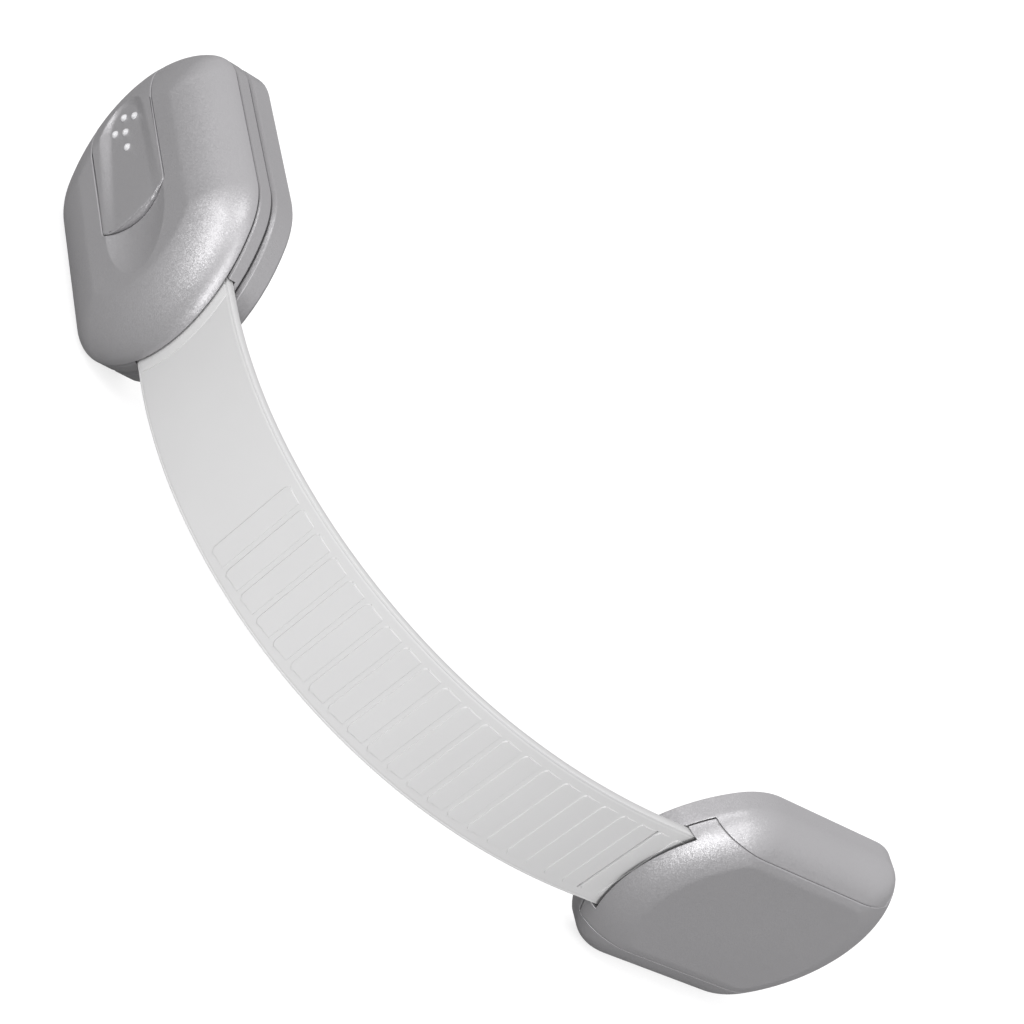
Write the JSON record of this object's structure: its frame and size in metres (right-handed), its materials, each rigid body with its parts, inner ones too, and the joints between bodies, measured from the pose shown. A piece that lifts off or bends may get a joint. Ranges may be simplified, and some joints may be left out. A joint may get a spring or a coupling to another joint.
{
  "type": "cabinet safety lock",
  "caption": "Adjustable strap lock for a cabinet corner: two stick-on heads joined by a bendable ribbed strap, one with a sliding release button and one with a hinged cover.",
  "frame": {"origin": "centre of the adjuster head's adhesive face", "axes": "+Y out of the adjuster's adhesive face, into the furniture; +X along the adjuster head, away from the strap; +Z across the strap, up on an upright cabinet edge"},
  "size_m": [0.1294, 0.1191, 0.038],
  "materials": {
    "grey_shell": "pearl grey moulding with a fine metallic sparkle, satin",
    "inner_plastic": "plain grey moulding",
    "strap": "translucent off-white soft plastic, satin",
    "steel": "bright steel",
    "foam": "white foam tape"
  },
  "bodies": {
    "adjuster": {"adjuster_base": "grey_shell", "adjuster_adhesive_pad": "foam", "cover_hinge_pin": "steel"},
    "cover": {"adjuster_cover": "grey_shell", "ratchet_pawl": "inner_plastic", "pawl_rivets": "steel"},
    "strap_feed": {"strap_tail": "strap"},
    "strap_span_1": {"strap_span_1": "strap"},
    "strap_span_2": {"strap_span_2": "strap"},
    "strap_span_3": {"strap_span_3": "strap"},
    "strap_span_4": {"strap_span_4": "strap"},
    "strap_span_5": {"strap_span_5": "strap"},
    "strap_span_6": {"strap_span_6": "strap"},
    "strap_span_7": {"strap_span_7": "strap"},
    "release_head": {"release_back_plate": "grey_shell", "release_front_shell": "grey_shell", "shell_screws": "steel", "strap_anchor_end": "strap", "button_return_spring": "steel"},
    "button": {"release_button": "grey_shell", "latch_slide": "inner_plastic", "latch_hooks": "inner_plastic"},
    "release_base": {"release_base_plate": "grey_shell", "release_adhesive_pad": "foam"}
  },
  "joints": [
    {"name": "cover_hinge", "type": "hinge", "parent": "adjuster", "child": "cover", "pos_m": [0.0236, -0.0046, 0], "axis": [0, 0, 1], "range_deg": [0, 90]},
    {"name": "strap_length", "type": "slide", "parent": "adjuster", "child": "strap_feed", "axis": [1, 0, 0], "range_m": [-0.00752, 0.01128], "deforming": ["ratchet_pawl"]},
    {"name": "strap_flex_1", "type": "hinge", "parent": "strap_feed", "child": "strap_span_1", "pos_m": [-0.0278, -0.0047, 0], "axis": [0, 0, -1], "range_deg": [-4.5, 4.5], "stiffness_Nm_per_rad": 0.03, "deforming": ["strap_tail", "strap_span_1"]},
    {"name": "strap_flex_2", "type": "hinge", "parent": "strap_span_1", "child": "strap_span_2", "pos_m": [-0.04278, -0.00352, 0], "axis": [0, 0, -1], "range_deg": [-10.12, 10.12], "stiffness_Nm_per_rad": 0.03, "deforming": ["strap_span_2"]},
    {"name": "strap_flex_3", "type": "hinge", "parent": "strap_span_2", "child": "strap_span_3", "pos_m": [-0.05731, 0.00027, 0], "axis": [0, 0, -1], "range_deg": [-12.38, 12.38], "stiffness_Nm_per_rad": 0.03, "deforming": ["strap_span_3"]},
    {"name": "strap_flex_4", "type": "hinge", "parent": "strap_span_3", "child": "strap_span_4", "pos_m": [-0.07068, 0.00708, 0], "axis": [0, 0, -1], "range_deg": [-13.95, 13.95], "stiffness_Nm_per_rad": 0.03, "deforming": ["strap_span_4"]},
    {"name": "strap_flex_5", "type": "hinge", "parent": "strap_span_4", "child": "strap_span_5", "pos_m": [-0.08201, 0.01691, 0], "axis": [0, 0, -1], "range_deg": [-14.62, 14.62], "stiffness_Nm_per_rad": 0.03, "deforming": ["strap_span_5"]},
    {"name": "strap_flex_6", "type": "hinge", "parent": "strap_span_5", "child": "strap_span_6", "pos_m": [-0.09049, 0.02928, 0], "axis": [0, 0, -1], "range_deg": [-14.62, 14.62], "stiffness_Nm_per_rad": 0.03, "deforming": ["strap_span_6"]},
    {"name": "strap_flex_7", "type": "hinge", "parent": "strap_span_6", "child": "strap_span_7", "pos_m": [-0.09557, 0.0434, 0], "axis": [0, 0, -1], "range_deg": [-13.5, 13.5], "stiffness_Nm_per_rad": 0.03, "deforming": ["strap_span_7"]},
    {"name": "strap_flex_8", "type": "hinge", "parent": "strap_span_7", "child": "release_head", "pos_m": [-0.09721, 0.05832, 0], "axis": [0, 0, -1], "range_deg": [-6.3, 6.3], "stiffness_Nm_per_rad": 0.03, "deforming": ["strap_anchor_end"]},
    {"name": "button_slide", "type": "slide", "parent": "release_head", "child": "button", "axis": [0, 1, 0], "range_m": [0, 0.0025], "stiffness_N_per_m": 400, "deforming": ["button_return_spring"]},
    {"name": "head_off_base", "type": "slide", "parent": "release_head", "child": "release_base", "axis": [1, 0, 0], "range_m": [0, 0.012], "deforming": ["latch_hooks"]}
  ]
}
